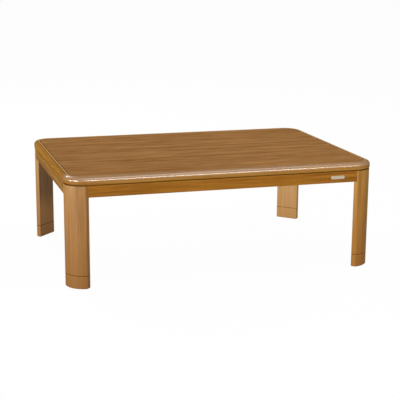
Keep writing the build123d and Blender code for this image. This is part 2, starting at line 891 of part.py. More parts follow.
def tube_leads():
    """Leads of the series circuit: block, left tube, right tube, fuse, thermostat, block."""
    lane = lead_lane
    end = terminal_end
    block_end = controls_offset - block_length / 2
    left = block_x - lead_spacing / 2
    right = block_x + lead_spacing / 2
    reflector_past = -reflector_length / 2 - lead_past_reflector
    fuse_z = controls_seat + fuse_radius
    fuse_near = -controls_offset + fuse_length / 2
    fuse_far = -controls_offset - fuse_length / 2
    turn = fuse_near + lead_past_fuse
    to_left_tube = lead(
        (left, block_end, block_lead),
        (left, reflector_past, block_lead),
        (left, -lane, tube_height),
        (-tube_offset, -lane, tube_height),
        (-tube_offset, -end, tube_height),
    )
    between_tubes = lead(
        (-tube_offset, end, tube_height),
        (-tube_offset, lane, tube_height),
        (tube_offset, lane, tube_height),
        (tube_offset, end, tube_height),
    )
    to_fuse = lead(
        (tube_offset, -end, tube_height),
        (tube_offset, -lane, tube_height),
        (fuse_place, -lane, tube_height),
        (fuse_place, reflector_past, fuse_z),
        (fuse_place, fuse_far, fuse_z),
    )
    to_thermostat = lead(
        (fuse_place, fuse_near, fuse_z),
        (fuse_place, turn, fuse_z),
        (tab_offset, turn, tab_lead),
        (tab_offset, -controls_offset + tab_depth / 2, tab_lead),
    )
    to_block = lead(
        (-tab_offset, -controls_offset - tab_depth / 2, tab_lead),
        (-tab_offset, lead_lane_step - lane, tab_lead),
        (right, lead_lane_step - lane, tab_lead),
        (right, -controls_offset, block_lead),
        (right, block_end, block_lead),
    )
    return [to_left_tube, between_tubes, to_fuse, to_thermostat, to_block]


def motor_leads():
    """Two thin leads from the block round the left tube's end to the motor's boss."""
    high = block_lead + lead_rise
    motor_z = motor_boss_low + motor_boss_height / 2
    block_end = controls_offset + block_length / 2
    leads = []
    for side in (-1, 1):
        x = block_x + side * lead_spacing / 2
        lane = lead_lane - motor_lane_gap - side * lead_lane_step
        across = -side * motor_boss_width / 4
        leads.append(
            lead(
                (x, block_end, high),
                (x, lane, high),
                (across, lane, high),
                (across, 2 * motor_boss_reach, motor_z),
                (across, motor_boss_reach, motor_z),
            )
        )
    return leads


def inlet_socket():
    """Moulded inlet under the flange, its mouth flush with the flange's left edge."""
    x = -flange_half
    half = inlet_width / 2
    wall = inlet_wall
    low = flange_low - inlet_height
    body = box_between(x, x + inlet_length, -half, half, low, flange_low)
    body = fillet(body.edges().filter_by(Axis.X).group_by(Axis.Z)[0], inlet_round)
    mouth_start = x - cut_past_face
    mouth = box_between(
        mouth_start, x + socket_depth, wall - half, half - wall, low + wall, flange_low - wall
    )
    mouth = fillet(mouth.edges().filter_by(Axis.X), inlet_round)
    return Pos(0, inlet_place, 0) * (body - mouth) - inlet_pins() - inlet_leads()


def inlet_pins():
    x0 = -flange_half + socket_depth - inlet_pin_length
    x1 = -flange_half + inlet_length
    middle = flange_low - inlet_height / 2
    pins = []
    for side in (-1, 1):
        pin = Rot(0, 90, 0) * Cylinder(inlet_pin_radius, x1 - x0)
        pin = chamfer(pin.edges().sort_by(Axis.X)[0], inlet_pin_radius / 3)
        y = inlet_place + side * inlet_pin_spacing / 2
        pins.append(Pos((x0 + x1) / 2, y, middle) * pin)
    return pins


def make_electrics():
    save("thermostat", thermostat())
    save("thermal_fuse", thermal_fuse())
    save("terminal_block", terminal_block())
    save("inlet_socket", inlet_socket())
    save("inlet_pins", inlet_pins())
    save("heater_leads", inlet_leads() + tube_leads() + motor_leads())


os.makedirs("parts", exist_ok=True)
make_top()
make_legs()
make_frame()
make_hardware()
make_heater()
make_fan()
make_guard()
make_electrics()
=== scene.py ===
"""Looks of a low heated table: smooth woodwork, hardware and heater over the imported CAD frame."""

import json
import math

import bmesh
import bpy
import numpy as np
from bpy.props import FloatProperty, FloatVectorProperty, IntProperty, PointerProperty
from mathutils import Matrix, Vector

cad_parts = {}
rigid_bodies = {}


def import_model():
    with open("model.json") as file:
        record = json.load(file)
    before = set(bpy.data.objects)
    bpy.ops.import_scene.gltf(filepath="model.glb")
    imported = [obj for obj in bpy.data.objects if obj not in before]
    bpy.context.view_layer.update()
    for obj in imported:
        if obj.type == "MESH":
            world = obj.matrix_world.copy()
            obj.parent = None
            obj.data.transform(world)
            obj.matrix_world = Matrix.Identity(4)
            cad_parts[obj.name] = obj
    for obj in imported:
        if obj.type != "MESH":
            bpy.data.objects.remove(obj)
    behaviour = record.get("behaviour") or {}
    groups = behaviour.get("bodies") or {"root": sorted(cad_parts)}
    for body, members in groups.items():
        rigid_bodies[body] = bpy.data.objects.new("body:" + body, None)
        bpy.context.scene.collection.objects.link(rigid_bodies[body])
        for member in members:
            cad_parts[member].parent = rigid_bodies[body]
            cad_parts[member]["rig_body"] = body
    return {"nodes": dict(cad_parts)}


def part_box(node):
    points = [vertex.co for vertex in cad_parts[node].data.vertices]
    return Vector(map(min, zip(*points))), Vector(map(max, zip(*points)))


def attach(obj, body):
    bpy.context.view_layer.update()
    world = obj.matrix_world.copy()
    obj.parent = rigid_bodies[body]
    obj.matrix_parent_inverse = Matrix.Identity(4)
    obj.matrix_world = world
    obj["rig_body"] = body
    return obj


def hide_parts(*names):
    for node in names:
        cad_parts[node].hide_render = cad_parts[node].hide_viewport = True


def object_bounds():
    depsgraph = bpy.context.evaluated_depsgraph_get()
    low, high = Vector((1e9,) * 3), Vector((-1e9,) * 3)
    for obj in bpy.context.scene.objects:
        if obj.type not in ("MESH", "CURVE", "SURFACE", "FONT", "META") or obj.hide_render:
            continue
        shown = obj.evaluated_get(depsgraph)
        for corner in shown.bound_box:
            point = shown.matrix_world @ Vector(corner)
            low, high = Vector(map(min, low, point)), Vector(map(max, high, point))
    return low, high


bl_info = {
    "name": "Heated low table",
    "version": (1, 0, 0),
    "blender": (4, 5, 0),
    "location": "3D View > Sidebar > Table",
    "description": "Builds the woodwork, hardware and heater of a low heated table on its CAD frame",
    "category": "Object",
}

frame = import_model()
CAD_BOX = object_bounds()
SIDES = {"front": 0, "right": 90, "back": 180, "left": 270}
CORNERS = {"fr": (1, -1), "br": (1, 1), "bl": (-1, 1), "fl": (-1, -1)}
# Factors on the common wood colours of single boards, by a leg's corner or an apron's side.
# The left apron's factor, high in blue, is a painted reflection: it stands in for the sheen of the
# white surroundings on that side. The back right leg is lifted far more than the others, most in
# blue; the shade that the front left leg and the top cast on it makes up only a small part of
# that lift, and the rest has no known cause.
BOARD_TONES_AND_PAINTED_SHEEN = {
    "fr": (1.18, 1.14, 0.58),
    "br": (1.72, 2.10, 3.10),
    "bl": (1.12, 1.18, 1.22),
    "left": (0.93, 1.18, 2.8),
}


# ------------------------------------------------------------------ sizes and colours
def length(name, description, default):
    return FloatProperty(name=name, description=description, default=default, unit="LENGTH")


def tint(name, description, default):
    return FloatVectorProperty(
        name=name, description=description, default=default, size=3, subtype="COLOR", min=0, max=1
    )


class TopSizes(bpy.types.PropertyGroup):
    corner_radius: length("Corner radius", "Radius of the top's corners", 0.072)
    edging_width: length("Edging width", "Width of the solid edging", 0.021)
    shoulder_run: length("Shoulder run", "Reach of the rounded shoulder over the edging", 0.017)
    shoulder_drop: length("Shoulder drop", "Height of the rounded shoulder", 0.014)
    under_round: length("Under rounding", "Rounding of the edging's lower edge", 0.008)
    tongue: length("Tongue", "Length and thickness of the tongue in the core", 0.008)
    groove: length("Border groove", "Width of the groove between edging and veneer", 0.003)
    veneer: length("Veneer", "Thickness of the face veneer", 0.0008)
    arris: length("Arris", "Rounding of the fine edges beside the groove", 0.0003)


class FrameSizes(bpy.types.PropertyGroup):
    apron_thickness: length("Apron thickness", "Thickness of the aprons", 0.018)
    apron_round: length("Apron rounding", "Rounding of the aprons' lower front edge", 0.002)
    board_arris: length("Board arris", "Rounding of the other edges of aprons and rails", 0.0006)
    tenon: length("Rail tenon", "Part of a rail that is hidden in its neighbour", 0.009)


class LegSizes(bpy.types.PropertyGroup):
    radius: length("Leg radius", "Radius of the legs' curved outer face", 0.070)
    end: length("Leg end", "Thickness of a leg at its two ends", 0.0175)
    arris: length("Leg arris", "Rounding of the legs' upright edges", 0.002)
    joint: length("Joint chamfer", "Chamfer at the joint of leg and extension", 0.0008)


class HeaterSizes(bpy.types.PropertyGroup):
    coil_pitch: length("Coil pitch", "Distance between two turns of the heating coil", 0.0022)
    coil_wire: length("Coil wire", "Radius of the heating wire", 0.00038)
    coil_radius: length("Coil radius", "Outer radius of the heating coil", 0.0026)
    tube_wall: length("Tube wall", "Wall of the quartz tube", 0.001)
    blade: length("Blade thickness", "Thickness of a fan blade at its middle", 0.0014)
    blades: IntProperty(name="Blades", description="Number of fan blades", default=7, min=3)
    wire: length("Guard wire", "Radius of the guard's thin wires", 0.0012)
    rod: length("Guard rod", "Radius of the guard's frame rod", 0.002)
    wires: IntProperty(name="Guard wires", description="Wires along the table", default=13, min=2)
    cross: IntProperty(name="Cross wires", description="Wires across the table", default=5, min=2)
    slope: length("Guard slope", "Reach of the guard's sloping sides", 0.018)
    bend: length("Guard bend", "Radius of the bends in the guard's wires", 0.009)
    corner: length("Guard corner", "Corner radius of the guard's frame rod", 0.016)


class WoodColours(bpy.types.PropertyGroup):
    veneer_light: tint("Veneer, light", "Light lines of the top's veneer", (0.534, 0.272, 0.097))
    veneer_dark: tint("Veneer, dark", "Dark lines of the top's veneer", (0.276, 0.114, 0.026))
    edging_light: tint("Edging, light", "Light lines of the edging", (0.350, 0.165, 0.027))
    edging_dark: tint("Edging, dark", "Dark lines of the edging", (0.225, 0.093, 0.010))
    # Painted highlight: the land's colour is lightened for the sheen that its polish catches, not for wear.
    land: tint("Land", "Worn line along the edging's inner edge", (0.920, 0.520, 0.210))
    edging_gloss: FloatProperty(
        name="Edging gloss", description="Index of refraction of the edging's polish", default=2.15, min=1
    )
    apron_light: tint("Apron, light", "Light lines of aprons and rails", (0.340, 0.143, 0.018))
    apron_dark: tint("Apron, dark", "Dark lines of aprons and rails", (0.185, 0.066, 0.006))
    leg_light: tint("Leg, light", "Light lines of the legs", (0.380, 0.194, 0.064))
    leg_dark: tint("Leg, dark", "Dark lines of the legs", (0.222, 0.099, 0.021))


class StageLight(bpy.types.PropertyGroup):
    key: FloatProperty(name="Key", description="Far lamp at the front left", default=1600, subtype="POWER")
    left: FloatProperty(name="Left", description="Far lamp at the left", default=1330, subtype="POWER")
    front: FloatProperty(name="Front", description="Long low lamp in front", default=100, subtype="POWER")
    over: FloatProperty(name="Overhead", description="Soft box above", default=20, subtype="POWER")
    back: FloatProperty(name="Back", description="Lamp behind", default=85, subtype="POWER")
    ambient: FloatProperty(name="Ambient", description="Light from all round", default=0.24)
    floor: tint("Floor", "Colour of the floor", (0.80, 0.80, 0.80))


# ------------------------------------------------------------------ surfaces
def arcs(*pieces, steps=8):
    """Outline of arcs joined by straight lines.

    Each piece is (centre, radii, from, to) in degrees, with one radius or two. A point is centre +
    radii * (cos a, sin a) and its outward normal is (cos a / rx, sin a / ry) made unit. A radius of
    0 gives a sharp corner: one point with the normals of both its sides.
    """
    points, normals = [], []
    for centre, radii, start, end in pieces:
        rx, ry = np.broadcast_to(np.asarray(radii, float), 2)
        count = 2 if rx == 0 else steps + 1
        a = np.radians(np.linspace(start, end, count))
        ring = np.stack([np.cos(a), np.sin(a)], 1)
        points.append(np.asarray(centre, float) + ring * (rx, ry))
        n = ring * (ry, rx) if rx else ring
        normals.append(n / np.linalg.norm(n, axis=1, keepdims=True))
    return np.concatenate(points), np.concatenate(normals)


def rounded_box(low, high, radius, steps=8):
    """Counter-clockwise rounded rectangle: an arc of the radius round each of its four corners."""
    (x0, y0), (x1, y1) = np.add(low, radius), np.subtract(high, radius)
    places = [((x1, y0), -90), ((x1, y1), 0), ((x0, y1), 90), ((x0, y0), 180)]
    return arcs(*[(c, radius, a, a + 90) for c, a in places], steps=steps)


def carried(path, section):
    """Section carried along a level path, as a grid of points and normals.

    The section's first coordinate s runs inwards from the path and its second is height z, so the
    point is path - s * outward + z * up, and the normal is -ns * outward + nz * up.
    """
    (pp, pn), (sp, sn) = path, section
    flat = pp[:, None] - sp[None, :, :1] * pn[:, None]
    normal = -sn[None, :, :1] * pn[:, None]
    high = np.broadcast_to(sp[:, 1], flat.shape[:2])
    up = np.broadcast_to(sn[:, 1], flat.shape[:2])
    return np.dstack([flat, high]), np.dstack([normal, up])


def lengths(points):
    """Running length along a line of points."""
    step = np.linalg.norm(np.diff(points, axis=0), axis=1)
    return np.concatenate([[0], np.cumsum(step)])


class Shell:
    """Grids and flat caps welded into one closed mesh that keeps the exact normals of each."""

    def __init__(self):
        self.co, self.faces, self.normals, self.uvs = [], [], [], []
        self.count = 0

    def _add(self, co, faces, normals, uvs):
        """Faces of one size, turned over together where they point against their normals."""
        corners = co[faces]
        facing = np.cross(corners[:, 1] - corners[:, 0], corners[:, 2] - corners[:, 1])
        if np.sum(facing * normals[faces][:, 1]) < 0:
            faces = faces[:, ::-1]
        self.faces += (faces + self.count).tolist()
        self.normals.append(normals[faces].reshape(-1, 3))
        self.uvs.append(uvs[faces].reshape(-1, 2))
        self.co.append(co)
        self.count += len(co)

    def grid(self, points, normals, wrap=(False, False), scale=1.0, shift=(0.0, 0.0)):
        """Quads between the rows and columns of points; wrap joins the last row or column to the first."""
        if wrap[0]:
            points, normals = (np.concatenate([a, a[:1]]) for a in (points, normals))
        if wrap[1]:
            points, normals = (np.concatenate([a, a[:, :1]], 1) for a in (points, normals))
        n, m = points.shape[:2]
        u = lengths(points[:, m // 2]) * scale + shift[0]
        v = lengths(points[0]) * scale + shift[1]
        uv = np.stack(np.meshgrid(u, v, indexing="ij"), -1).reshape(-1, 2)
        k = np.arange(n * m).reshape(n, m)
        quads = np.stack([k[:-1, :-1], k[1:, :-1], k[1:, 1:], k[:-1, 1:]], -1).reshape(-1, 4)
        self._add(points.reshape(-1, 3), quads, normals.reshape(-1, 3), uv)
        return self

    def cap(self, ring, outward):
        """Flat face over a closed ring of points."""
        keep = np.linalg.norm(ring - np.roll(ring, 1, 0), axis=1) > 1e-7
        ring = ring[keep]
        after = np.roll(ring, -1, 0)
        area = np.cross(ring - ring.mean(0), after - ring.mean(0)).sum(0)
        if np.dot(area, outward) < 0:
            ring, area = ring[::-1], -area
        normal = area / np.linalg.norm(area)
        across = np.argsort(np.abs(normal))[:2]
        self.faces.append(list(range(self.count, self.count + len(ring))))
        self.normals.append(np.broadcast_to(normal, ring.shape))
        self.uvs.append(ring[:, np.sort(across)])
        self.co.append(ring)
        self.count += len(ring)
        return self

    def make(self, name, turn=None, mirror=(1, 1)):
        """The mesh object, mirrored in X or Y by the signs given, then turned by a matrix."""
        co, normals = np.concatenate(self.co), np.concatenate(self.normals)
        co, back = np.unique(np.round(co, 7), axis=0, return_inverse=True)
        back = back.ravel()
        flip = mirror[0] * mirror[1] < 0
        signs = np.array([*mirror, 1.0])
        co, normals = co * signs, normals * signs
        if turn is not None:
            m = np.array(turn)
            co, normals = co @ m[:3, :3].T + m[:3, 3], normals @ m[:3, :3].T
        faces, kept, first = [], [], 0
        for face in self.faces:
            ids = back[face]
            use = np.flatnonzero(ids != np.roll(ids, -1))
            loops = first + use
            first += len(face)
            if len(use) > 2 and len(set(ids[use])) == len(use):
                order = slice(None, None, -1) if flip else slice(None)
                faces.append(ids[use][order].tolist())
                kept.append(loops[order])
        kept = np.concatenate(kept)
        mesh = bpy.data.meshes.new(name)
        mesh.from_pydata(co.tolist(), [], faces)
        mesh.uv_layers.new(name="UVMap").data.foreach_set(
            "uv", np.concatenate(self.uvs)[kept].astype(np.float32).ravel()
        )
        mesh.shade_smooth()
        mesh.normals_split_custom_set(normals[kept].tolist())
        return place_object(name, mesh)


def place_object(name, mesh):
    obj = bpy.data.objects.new(name, mesh)
    bpy.context.scene.collection.objects.link(obj)
    return obj


def finished(obj, body, slot, material, *nodes):
    """Gives a piece its material and its body, and hides the CAD nodes that it stands for; the slot is not
    used.
    """
    obj.data.materials.clear()
    obj.data.materials.append(material)
    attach(obj, body)
    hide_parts(*nodes)
    return obj


def smoothed(node, slot, material, angle=32):
    """A CAD node's mesh with its doubles merged and its curved faces shaded smooth."""
    source = frame["nodes"][node]
    mesh = source.data.copy()
    mesh.name = node + "_finish"
    for name in ("custom_normal", "sharp_face", "sharp_edge"):
        if name in mesh.attributes:
            mesh.attributes.remove(mesh.attributes[name])
    edit = bmesh.new()
    edit.from_mesh(mesh)
    bmesh.ops.remove_doubles(edit, verts=edit.verts, dist=1e-6)
    for face in edit.faces:
        face.smooth = True
    for edge in edit.edges:
        edge.smooth = edge.calc_face_angle(math.pi) < math.radians(angle)
    edit.to_mesh(mesh)
    edit.free()
    obj = place_object(node + "_finish", mesh)
    return finished(obj, source["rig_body"], slot, material, node)


def boxed(node):
    """Low and high corners of a CAD node as arrays."""
    low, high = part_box(node)
    return np.array(low), np.array(high)


# ------------------------------------------------------------------ materials
class Value:
    """A socket in an expression: its operators add Math nodes, and numbers alone stay in Python."""

    def __init__(self, graph, socket):
        self.graph, self.socket = graph, socket

    def _math(self, operation, a, b=0.0):
        return self.graph.add("Math", {"operation": operation}, {0: a, 1: b})["Value"]

    def __add__(self, other):
        return self._math("ADD", self, other)

    def __sub__(self, other):
        return self._math("SUBTRACT", self, other)

    def __rsub__(self, other):
        return self._math("SUBTRACT", other, self)

    def __mul__(self, other):
        return self._math("MULTIPLY", self, other)

    def __lt__(self, other):
        return self._math("LESS_THAN", self, other)

    def __gt__(self, other):
        return self._math("GREATER_THAN", self, other)

    def size(self):
        return self._math("ABSOLUTE", self)

    def sine(self):
        return self._math("SINE", self)

    __radd__, __rmul__ = __add__, __mul__


class Graph:
    """A material's nodes. add() makes a node from its type, settings and sockets' values or links."""

    def __init__(self, name):
        self.material = bpy.data.materials.new(name)
        self.material.use_nodes = True
        self.tree = self.material.node_tree
        self.tree.nodes.clear()

    def add(self, kind, settings=None, inputs=None):
        node = self.tree.nodes.new("ShaderNode" + kind)
        for key, value in (settings or {}).items():
            setattr(node, key, value)
        for key, value in (inputs or {}).items():
            if isinstance(value, Value):
                self.tree.links.new(value.socket, node.inputs[key])
            else:
                node.inputs[key].default_value = value
        return {o.name: Value(self, o) for o in reversed(node.outputs)} | {
            i: Value(self, o) for i, o in enumerate(node.outputs)
        }

    def mix(self, factor, a, b):
        """Colour a at factor 0 and b at 1."""
        return self.add("Mix", {"data_type": "RGBA"}, {0: factor, 6: a, 7: b})[2]

    def place(self, kind="Object"):
        return self.add("TexCoord")[kind]

    def noise(self, vector, scale, detail=2.0, roughness=0.5):
        """Noise from 0 to 1, drawn out by a different scale along each axis."""
        drawn = self.add("Mapping", {"vector_type": "POINT"}, {"Vector": vector, "Scale": scale})[0]
        return self.add(
            "TexNoise", {}, {"Vector": drawn, "Scale": 1.0, "Detail": detail, "Roughness": roughness}
        )[0]

    def ramp(self, value, start, end, low, high):
        """From low at the value start to high at the value end, and level outside them."""
        return self.add("MapRange", {}, {0: value, 1: start, 2: end, 3: low, 4: high})[0]

    def bump(self, height, strength, distance):
        return self.add("Bump", {}, {"Height": height, "Strength": strength, "Distance": distance})[0]

    def surface(self, **inputs):
        """Principled shader to the output; a word in snake case names its socket."""
        named = {k.replace("_", " ").title().replace("Ior", "IOR"): v for k, v in inputs.items()}
        shader = self.add("BsdfPrincipled", {}, named)[0]
        self.add("OutputMaterial", {}, {"Surface": shader})
        return self.material


def colour(rgb, tone=1.0):
    """A colour, scaled as a whole, with full alpha."""
    return (*(part * tone for part in rgb), 1.0)


def toned(rgb, tone):
    """A colour with each of its parts scaled."""
    return tuple(a * b for a, b in zip(rgb, tone))


def grain(g, place, light, dark, along, seed=0.0, fineness=1.0, short=1.0):
    """Colour and pores of wood.

    Three noises are drawn out along the grain: broad bands, the lines between them, and pores.
    Their sum picks a colour between dark and light. A slow noise bends the lines across the grain.
    Fineness narrows the lines and short cuts their length.
    """
    axis = "XYZ".index(along)

    def drawn(length_scale, cross_scale):
        scale = [cross_scale * fineness] * 3
        scale[axis] = length_scale * short
        return tuple(scale)

    wave = g.noise(place, drawn(2.2, 7.0), 1.0)
    bend = g.add("CombineXYZ", {}, {i: (wave - 0.5) if i != axis else 0.0 for i in range(3)})[0]
    moved = g.add("VectorMath", {"operation": "MULTIPLY_ADD"}, {0: bend, 1: (0.012,) * 3, 2: place})[0]
    moved = g.add("VectorMath", {"operation": "ADD"}, {0: moved, 1: (seed, seed * 1.7, seed * 2.3)})[0]
    broad = g.noise(moved, drawn(0.9, 22.0), 2.0)
    line = g.noise(moved, drawn(4.0, 150.0), 3.0, 0.55)
    pore = g.noise(moved, drawn(22.0, 900.0), 2.0)
    tone = (broad - 0.5) * 1.5 + (line - 0.5) * 2.1 + (pore - 0.5) * 0.6 + 0.5
    return g.mix(tone, colour(dark), colour(light)), pore


def varnished(g, shade, pore, coat, sheen, fade=2, relief=0.12, **more):
    """Varnish over a wood's colour: a coat that goes dull towards grazing views, as rubbed varnish
    does, with the weight coat * (1 - facing)^fade; the pores roughen the wood under it."""
    square_on = 1.0 - g.add("LayerWeight", {}, {"Blend": 0.5})["Facing"]
    return g.surface(
        base_color=shade,
        roughness=0.5 + (pore - 0.5) * 0.2,
        specular_ior_level=0.0,
        coat_weight=(square_on if fade == 1 else square_on * square_on) * coat,
        coat_roughness=sheen,
        normal=g.bump(pore, relief, 0.0002),
        **more,
    )


def wood(name, light, dark, along, seed=0.0, fineness=1.0, short=1.0, joint=None, painted_foot_shade=None,
         coat=0.5, sheen=0.3, fade=2):
    """Satin-varnished wood, darker in the fine groove at a joint given by its height and half width,
    but not on the level faces there, with the coat left off there: on the legs a dark joint line that
    is also painted shade in the groove, on the veneer painted shade in the border groove. Painted
    shade too: darker and browner from one height down to another, towards the foot."""
    g = Graph(name)
    place = g.place()
    shade, pore = grain(g, place, light, dark, along, seed, fineness, short)
    height = g.add("SeparateXYZ", {}, {0: place})["Z"]
    if painted_foot_shade is not None:
        # Painted shade: darker and browner from the leg's top down to the foot.
        depth = g.ramp(height, painted_foot_shade[0], painted_foot_shade[1], 0.0, 0.90)
        shade = g.mix(depth, shade, colour(toned(dark, (0.95, 0.85, 0.60))))
    if joint is not None:
        # Painted shade on the groove's upright faces, over a dark joint line on the legs.
        steep = g.add("SeparateXYZ", {}, {0: g.place("Normal")})["Z"].size() < 0.9
        groove = ((height - joint[0]).size() < joint[1]) * steep
        shade = g.mix(groove * 0.9, shade, colour(dark, 0.25))
        coat = (1.0 - groove) * coat
    return varnished(g, shade, pore, coat, sheen, fade)


def edging_wood(name, s, c, section):
    """Edging's wood, its grain on the piece's UV map, where V runs across the section from the land.

    Painted highlight: the land is coloured lighter for the sheen that it catches. Painted shade: the
    wall beside the border groove is coloured nearly black for the shade in the groove. The shoulder is
    polished and the belly under it is satin, and along the sides the polish dies out backwards:
    polish = ramp of height * (0.15 + 0.85 * ramp of depth).
    """
    g = Graph(name)
    place = g.place("UV")
    shade, pore = grain(g, place, c.edging_light, c.edging_dark, "X")
    across = g.add("SeparateXYZ", {}, {0: place})["Y"]
    wall = lengths(section[0])[np.argmin(section[0] @ (-1, 1))]
    # Painted highlight: the land is lighter for the sheen along it.
    shade = g.mix((across < s.edging_width - s.shoulder_run) * 0.9, shade, colour(c.land))
    # Painted shade: the wall in the border groove and the tongue beyond it are coloured nearly black.
    hidden = across > wall
    shade = g.mix(hidden, shade, colour(c.edging_dark, 0.1))
    where = g.add("SeparateXYZ", {}, {0: g.place()})
    high, front = section[0][:, 1].max() - s.shoulder_drop, CAD_BOX[0].y
    upper = g.ramp(where["Z"], high - 0.003, high + 0.003, 0.15, 1.0)
    near = g.ramp(where["Y"], front + 0.05, front + 0.11, 1.0, 0.15)
    polish = upper * near * (1.0 - hidden)
    return varnished(g, shade, pore, polish, 0.24, 1, 0.03, coat_ior=c.edging_gloss)


def metal(name, base, roughness, along=None):
    """Metal with fine lines along one axis where it is brushed, or a faint mottle where it is plated."""
    g = Graph(name)
    scale = [260.0] * 3 if along is None else [1800.0] * 3
    if along is not None:
        scale["XYZ".index(along)] = 18.0
    mottle = g.noise(g.place(), tuple(scale), 2.0)
    shade = g.mix(mottle, colour(base, 0.86), colour(base))
    return g.surface(
        base_color=shade,
        metallic=1.0,
        roughness=roughness + (mottle - 0.5) * 0.12,
        normal=g.bump(mottle, 0.05, 0.0001),
    )


def moulded(name, base, roughness, fine=700.0, strength=0.08):
    """Moulded or fired surface: a slightly uneven colour over a fine grain."""
    g = Graph(name)
    grit = g.noise(g.place(), (fine,) * 3, 2.0)
    cloud = g.noise(g.place(), (9.0,) * 3, 2.0)
    shade = g.mix(cloud, colour(base, 0.88), colour(base))
    return g.surface(
        base_color=shade,
        roughness=roughness + (grit - 0.5) * 0.1,
        normal=g.bump(grit, strength, 0.0002),
    )


def laminate(name, base):
    """Printed backing sheet: a faint drawn-out grain under a dull finish."""
    g = Graph(name)
    lines = g.noise(g.place(), (3.0, 90.0, 90.0), 3.0)
    shade = g.mix(lines, colour(base, 0.8), colour(base, 1.15))
    return g.surface(base_color=shade, roughness=0.6 + (lines - 0.5) * 0.1, specular_ior_level=0.3)


def chipboard(name, base, painted_groove_shade):
    """Particle board: coarse chips of two tones, with painted shade that makes it nearly black above a
    height, in the border groove.
    """
    g = Graph(name)
    chips = g.add("TexVoronoi", {}, {"Vector": g.place(), "Scale": 420.0})["Distance"]
    height = g.add("SeparateXYZ", {}, {0: g.place()})["Z"]
    shade = g.mix(chips, colour(base, 0.6), colour(base))
    shade = g.mix(height > painted_groove_shade, shade, colour(base, 0.04))
    relief = g.bump(chips, 0.2, 0.0004)
    return g.surface(base_color=shade, roughness=0.85, specular_ior_level=0.0, normal=relief)


def quartz(name):
    """Clear quartz: thin, barely tinted, with a faint haze that follows the drawing of the tube."""
    g = Graph(name)
    haze = g.noise(g.place(), (120.0, 6.0, 120.0), 2.0)
    return g.surface(
        base_color=g.mix(haze, colour((0.90, 0.90, 0.92)), colour((1.0, 1.0, 1.0))),
        roughness=0.04 + haze * 0.06,
        transmission_weight=0.92,
        ior=1.46,
    )


def sleeve(name, base):
    """Braided heat sleeve: two sets of slanted bands over each other."""
    g = Graph(name)
    parts = g.add("SeparateXYZ", {}, {0: g.place()})
    one = ((parts["X"] + parts["Y"] + parts["Z"]) * 3200.0).sine()
    two = ((parts["X"] - parts["Y"] + parts["Z"]) * 3200.0).sine()
    braid = one * two * 0.5 + 0.5
    shade = g.mix(braid, colour(base, 0.72), colour(base))
    return g.surface(base_color=shade, roughness=0.8, normal=g.bump(braid, 0.3, 0.0002))


# ------------------------------------------------------------------ the top
def edging_section(s):
    """Edging's section: land, elliptical shoulder, straight belly, rounded lower edge and tongue."""
    low, high = boxed("edging_front")[0][2], boxed("edging_front")[1][2]
    mid, half = (low + high) / 2, s.tongue / 2
    end = s.edging_width + s.tongue
    return arcs(
        ((s.edging_width - s.arris, high - s.arris), s.arris, 0, 90),
        ((s.shoulder_run, high - s.shoulder_drop), (s.shoulder_run, s.shoulder_drop), 90, 180),
        ((s.under_round, low + s.under_round), s.under_round, 180, 270),
        ((s.edging_width, low), 0, 270, 360),
        ((s.edging_width, mid - half), 0, 0, -90),
        ((end, mid - half), 0, 270, 360),
        ((end, mid + half), 0, 0, 90),
        ((s.edging_width, mid + half), 0, 90, 0),
        steps=14,
    )


def build_edging(s, section, material):
    """Four straight runs and four corners, each the section carried along its part of the outline."""
    lo, hi = CAD_BOX
    half = np.array([(hi.x - lo.x) / 2, (hi.y - lo.y) / 2])
    r = s.corner_radius
    for k, (side, turn) in enumerate(SIDES.items()):
        along, across = half if turn % 180 == 0 else half[::-1]
        path = np.array([(-along + r, -across), (along - r, -across)]), np.array([(0.0, -1.0)] * 2)
        piece_of_edging(path, section, f"edging_{side}", math.radians(turn), k, material)
    for k, (corner, (sx, sy)) in enumerate(CORNERS.items()):
        centre = np.array([sx, sy]) * (half - r)
        path = arcs((centre, r, k * 90 - 90, k * 90), steps=28)
        piece_of_edging(path, section, f"edging_corner_{corner}", 0.0, k + 4, material)


def piece_of_edging(path, section, node, angle, seed, material):
    points, normals = carried(path, section)
    shell = Shell().grid(points, normals, wrap=(False, True), shift=(seed * 3.1, 0.0))
    shell.cap(points[0], points[0].mean(0) - points[-1].mean(0))
    shell.cap(points[-1], points[-1].mean(0) - points[0].mean(0))
    obj = shell.make(node + "_piece", Matrix.Rotation(angle, 4, "Z"))
    finished(obj, "top", "wood_edge", material, node)


def slab(name, outline, low, high, arris, **make):
    """Flat slab over an outline, its upper and lower edges rounded by the arris."""
    side = arcs(
        ((arris, low + arris), arris, 270, 180), ((arris, high - arris), arris, 180, 90), steps=4
    )
    points, normals = carried(outline, side)
    shell = Shell().grid(points, normals, wrap=(True, False))
    shell.cap(points[:, 0], (0, 0, -1)).cap(points[:, -1], (0, 0, 1))
    return shell.make(name, **make)


def build_veneer(s, material):
    low, high = boxed("top_veneer")
    inset = s.edging_width + s.groove
    outline = rounded_box(low[:2], high[:2], s.corner_radius - inset, steps=24)
    obj = slab("top_veneer_piece", outline, low[2], high[2], s.arris)
    finished(obj, "top", "wood_top", material, "top_veneer")


class TABLE_OT_top(bpy.types.Operator):
    """Build the veneered top with its solid edging"""

    bl_idname = "table.top"
    bl_label = "Top"

    def execute(self, context):
        s, c = context.scene.table_top, context.scene.table_wood
        under = boxed("top_veneer")[0][2]
        # Painted shade: the veneer's cut edge in the border groove is darkened within this height and half
        # width.
        rim = (under, s.veneer - 0.00005)
        veneer = wood(
            "Top veneer", c.veneer_light, c.veneer_dark, "X", 41.7, 1.35, 2.4, rim, sheen=0.35
        )
        section = edging_section(s)
        build_veneer(s, veneer)
        build_edging(s, section, edging_wood("Edging, polished", s, c, section))
        # Painted shade: the core is nearly black above this height, where it shows in the border groove.
        core = chipboard("Particle board", (0.50, 0.36, 0.22), under - 0.0003)
        smoothed("top_core", "board_core", core)
        smoothed("top_backing", "backing_sheet", laminate("Backing sheet", (0.30, 0.17, 0.08)))
        return {"FINISHED"}


